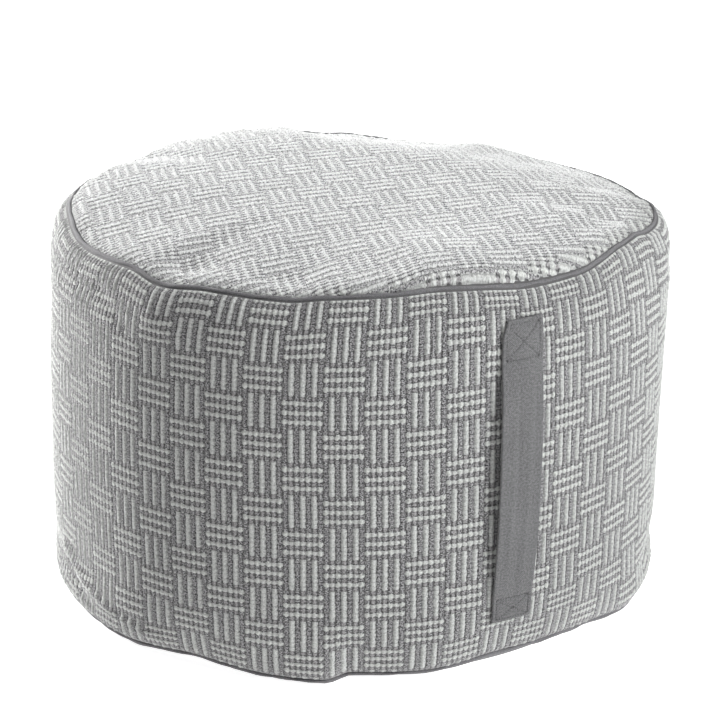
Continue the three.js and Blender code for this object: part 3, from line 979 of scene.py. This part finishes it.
basketWeave, spunFibre, plainCanvas = basketGroup(), fibreGroup(), canvasGroup()


def mixColour(tree, share, first, second):
    return addNode(tree, "ShaderNodeMix", {0: share, 6: first, 7: second}, data_type="RGBA").outputs[2]


def newMaterial(name, roughness, specular, inputs):
    material = bpy.data.materials.new(name)
    material.use_nodes = True
    tree = material.node_tree
    shader = tree.nodes["Principled BSDF"]
    setInputs(tree, shader, {"Roughness": roughness, "Specular IOR Level": specular, **inputs})
    return material, tree, shader


def clothMaterial(name, roughness, sheen, sheenRoughness):
    made = newMaterial(name, roughness, 0.2, {"Sheen Weight": sheen, "Sheen Roughness": sheenRoughness})
    return *made, addNode(made[1], "ShaderNodeUVMap", uv_map="weave").outputs[0]


# Colours are linear. Both looks paint shade into the gaps between yarns. The top is the same cloth, whose
# nap catches more light where it lies flat: its lighter colours are painted light
sideLook = Sizes(
    weft=(0.625, 0.637, 0.612, 1),
    warp=(0.582, 0.590, 0.575, 1),
    paleShade=0.74,  # share of that colour in the darker fibres
    greyLight=(0.375, 0.37, 0.375, 1),
    greyDark=(0.056, 0.055, 0.059, 1),
    strip=(0.33, 0.318, 0.318, 1),  # pale ribs seen between the bars that cross them
    stripShare=0.55,
    # painted shade in the gaps between yarns: yarn height at which it starts, and at which it is full
    creviceStart=0.98,
    creviceEnd=0.42,
    paleCrevice=0.30,  # painted shade: how much darker the gaps beside pale yarns are
    greyCrevice=0.64,  # and beside grey ones, painted shade too
)
# painted light: lighter colours for the flat top, where its nap catches more light, with deeper painted
# shade in its gaps
litTopLook = Sizes(**vars(sideLook) | dict(
    weft=(0.765, 0.768, 0.762, 1),
    warp=(0.745, 0.748, 0.742, 1),
    greyLight=(0.60, 0.595, 0.60, 1),
    greyDark=(0.18, 0.178, 0.184, 1),
    strip=(0.52, 0.52, 0.52, 1),
    stripShare=0.25,
    creviceStart=0.86,
    creviceEnd=0.26,
    paleCrevice=0.74,
    greyCrevice=0.88,
))
nap = Sizes(
    sheen=0.5,
    sheenRoughness=0.4,
    sideBump=0.0018,
    topBump=0.0014,
    sideSpread=0.0,  # how much fuller the pale yarns look
    topSpread=0.55,
    flatWithin=0.219,  # radius up to which the top has its own look, with painted light
    turnedOver=0.233,  # and from which it has the side's, without that painted light
    fleckScale=3.4,  # for each rib
    cloudScale=0.06,
    roughness=0.95,
    fuzz=0.25,  # height of the fuzz, as a share of the yarns'
    ragged=0.40,  # how much the flecks break the edges of the gaps
    cloudiness=0.16,  # how much of the brightness changes from place to place
)


def wovenColour(tree, look, basket, fibre):
    grey = mixColour(tree, fibre["Fleck"], look.greyDark, look.greyLight)
    grey = mixColour(tree, times(tree, basket["Strip"], look.stripShare), grey, look.strip)
    pale = mixColour(tree, basket["Warp"], look.weft, look.warp)
    worn = timesPlus(tree, fibre["Fleck"], 1 - look.paleShade, look.paleShade)
    yarn = mixColour(tree, basket["Pale"], grey, scaled(tree, pale, worn))
    # painted shade: the gaps between yarns are darkened, more beside grey yarns than beside pale ones; the
    # cloud then varies the brightness at random
    ragged = timesPlus(tree, fibre["Fleck"], nap.ragged, basket["Body"])
    gapShade = ease(tree, ragged, look.creviceStart, look.creviceEnd)
    paleLess = look.paleCrevice - look.greyCrevice
    depth = timesPlus(tree, basket["Pale"], paleLess, look.greyCrevice)
    shade = maths(tree, "SUBTRACT", 1.0, times(tree, gapShade, depth))
    shade = times(tree, shade, timesPlus(tree, fibre["Cloud"], nap.cloudiness, 1 - nap.cloudiness / 2))
    return scaled(tree, yarn, shade)


def addBump(tree, shader, height, distance, strength):
    bump = addNode(tree, "ShaderNodeBump", {"Height": height, "Distance": distance, "Strength": strength})
    setInputs(tree, shader, {"Normal": bump.outputs[0]})


def wovenMaterial(name, flatOnTop):
    material, tree, shader, cloth = clothMaterial(name, nap.roughness, nap.sheen, nap.sheenRoughness)
    spread, depth = nap.sideSpread, nap.sideBump
    if flatOnTop:
        spread, depth = nap.topSpread, nap.topBump
    basket = useGroup(tree, basketWeave, {"Cloth": cloth, "Spread": spread})
    fibre = useGroup(tree, spunFibre, {"Cloth": cloth, "Fleck scale": nap.fleckScale,
                                       "Cloud scale": nap.cloudScale})
    colour = wovenColour(tree, sideLook, basket, fibre)
    # painted light: the flat middle of the top takes the lighter colours of the top's look, fading to the
    # side's colours where it turns over at the rim
    if flatOnTop:
        place = addNode(tree, "ShaderNodeTexCoord").outputs["Object"]
        level = vectors(tree, "MULTIPLY", place, (1, 1, 0))[0]
        radius = vectors(tree, "LENGTH", level)["Value"]
        flat = ease(tree, radius, nap.turnedOver, nap.flatWithin)
        colour = mixColour(tree, flat, colour, wovenColour(tree, litTopLook, basket, fibre))
    setInputs(tree, shader, {"Base Color": colour})
    addBump(tree, shader, timesPlus(tree, fibre["Fuzz"], nap.fuzz, basket["Lift"]), depth, 1.0)
    return material


# The grey cloths: colours in and between the yarns, yarns in a metre, depth of the bump, sheen
plainLooks = {
    "plainCotton": Sizes(light=(0.21, 0.206, 0.213, 1), dark=(0.065, 0.064, 0.068, 1),
                         yarns=1100.0, bump=0.00022, sheen=0.15),
    "strapCanvas": Sizes(light=(0.225, 0.223, 0.227, 1), dark=(0.040, 0.040, 0.041, 1),
                         yarns=1300.0, bump=0.00045, sheen=0.1),
    "sewingThread": Sizes(light=(0.10, 0.099, 0.101, 1), dark=(0.045, 0.044, 0.046, 1),
                          yarns=2500.0, bump=0.00008, sheen=0.1),
}
grain = Sizes(
    fleckScale=0.57,  # for each yarn
    cloudScale=22.0,
    cloudShare=0.4,  # of the tone, before the yarns' own share
    liftShare=0.25,
    fuzz=0.5,
    roughness=0.9,
    bumpStrength=0.8,
)


def plainMaterial(name):
    look = plainLooks[name]
    material, tree, shader, cloth = clothMaterial(name, grain.roughness, look.sheen, 0.5)
    canvas = useGroup(tree, plainCanvas, {"Cloth": cloth, "Yarns per metre": look.yarns})
    fibre = useGroup(tree, spunFibre, {"Cloth": cloth, "Fleck scale": look.yarns * grain.fleckScale,
                                       "Cloud scale": grain.cloudScale})
    flecks = times(tree, fibre["Fleck"], 1 - grain.cloudShare)
    tone = timesPlus(tree, fibre["Cloud"], grain.cloudShare, flecks)
    tone = timesPlus(tree, canvas["Lift"], grain.liftShare, times(tree, tone, 1 - grain.liftShare))
    setInputs(tree, shader, {"Base Color": mixColour(tree, tone, look.dark, look.light)})
    height = timesPlus(tree, fibre["Fuzz"], grain.fuzz, canvas["Lift"])
    addBump(tree, shader, height, look.bump, grain.bumpStrength)
    return material


sideWeave, topWeave = wovenMaterial("wovenCotton", False), wovenMaterial("wovenCottonLitTop", True)
plainCloth, strapCloth, threadLook = (plainMaterial(name) for name in plainLooks)

finishes = [
    (sideBand, sideWeave, "woven_cloth", ["side_panel"]),
    (topCloth, topWeave, "woven_cloth", ["top_panel"]),
    (baseCloth, plainCloth, "plain_cloth", ["base_panel"]),
    (topPiping, plainCloth, "plain_cloth", ["top_piping"]),
    (basePiping, plainCloth, "plain_cloth", ["base_piping"]),
    (carryStrap, strapCloth, "strap_webbing", ["handle_strap"]),
    (stitches, threadLook, "strap_webbing", []),
]
for piece, material, slotName, nodes in finishes:
    piece.data.materials.clear()
    piece.data.materials.append(material)
    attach(piece, "root")
    if nodes:
        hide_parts(*nodes)
print("stage: materials and frame")

# Studio: pale floor, soft lights, and the camera where the photograph was taken
studio = Sizes(
    cameraPlace=(-0.8601, -1.5842, 0.8509),
    cameraPitch=20.63,
    cameraHeading=28.66,
    lens=116.79,
    sensor=36.0,
    floorSize=16.0,
    floorHeight=-0.0002,  # just under the base cloth
    worldStrength=0.03,
    lampBase=0.15,  # height that the lamps' distances are counted from
    aimHeight=0.2,
    floorGlow=0.25,  # before the pouf
    footGlow=0.88,  # close round its foot, where the photo shows no shadow
    footFrom=0.265,
    footTo=0.33,
    farGlow=1.0,  # behind it, where the lamps don't reach
    glowFrom=-0.1,  # distances behind the pouf
    glowTo=1.1,
    awayFrom=1.5,  # distances from it on every side
    awayTo=3.0,
)
lamps = [
    # name, azimuth from the camera and elevation of the lamp, distance, size, power, colour
    ("overhead", 0, 85, 2.4, 2.2, 38, (1, 1, 1)),
    ("leftBack", -122, 15.5, 2.4, 0.5, 134, (1, 1, 1)),
    ("rightFront", 59, 25, 2.4, 1.1, 59, (0.98, 0.995, 1)),
]


def makeStudio():
    camera = bpy.data.objects.new("camera", bpy.data.cameras.new("camera"))
    scene.collection.objects.link(camera)
    camera.location = studio.cameraPlace
    heading = math.radians(studio.cameraHeading)
    camera.rotation_euler = (math.radians(90 - studio.cameraPitch), 0, -heading)
    camera.data.lens = studio.lens
    camera.data.sensor_width = studio.sensor
    camera.data.sensor_fit = "HORIZONTAL"
    scene.camera = camera

    bpy.ops.mesh.primitive_plane_add(size=studio.floorSize, location=(0, 0, studio.floorHeight))
    floor = bpy.context.object
    floor.name = "floor"
    pale = {"Base Color": (0.90, 0.90, 0.90, 1), "Emission Color": (1, 1, 1, 1)}
    material, tree, shader = newMaterial("paleFloor", 0.9, 0.1, pale)
    place = addNode(tree, "ShaderNodeTexCoord").outputs["Object"]
    behind = vectors(tree, "DOT_PRODUCT", place, (math.sin(heading), math.cos(heading), 0))["Value"]
    away = vectors(tree, "LENGTH", place)["Value"]
    near, far = studio.floorGlow, studio.farGlow
    strength = ease(tree, behind, studio.glowFrom, studio.glowTo, near, far)
    for glow in (ease(tree, away, studio.awayFrom, studio.awayTo, near, far),
                 ease(tree, away, studio.footFrom, studio.footTo, studio.footGlow, near)):
        strength = maths(tree, "MAXIMUM", strength, glow)
    setInputs(tree, shader, {"Emission Strength": strength})
    floor.data.materials.append(material)

    for name, azimuth, elevation, distance, size, power, colour in lamps:
        lamp = bpy.data.objects.new(name, bpy.data.lights.new(name, "AREA"))
        scene.collection.objects.link(lamp)
        lamp.data.shape = "DISK"
        lamp.data.size = size
        lamp.data.energy = power
        lamp.data.color = colour
        turned, raisedBy = math.radians(azimuth - studio.cameraHeading), math.radians(elevation)
        flat = distance * math.cos(raisedBy)
        height = studio.lampBase + distance * math.sin(raisedBy)
        lamp.location = (flat * math.sin(turned), -flat * math.cos(turned), height)
        towards = Vector((0, 0, studio.aimHeight)) - lamp.location
        lamp.rotation_euler = towards.to_track_quat("-Z", "Y").to_euler()

    world = bpy.data.worlds.new("studio")
    scene.world = world
    world.use_nodes = True
    light = {"Color": (1, 1, 1, 1), "Strength": studio.worldStrength}
    setInputs(world.node_tree, world.node_tree.nodes["Background"], light)
    scene.view_settings.view_transform = "Standard"
    scene.view_settings.look = "None"


makeStudio()
print("stage: studio")
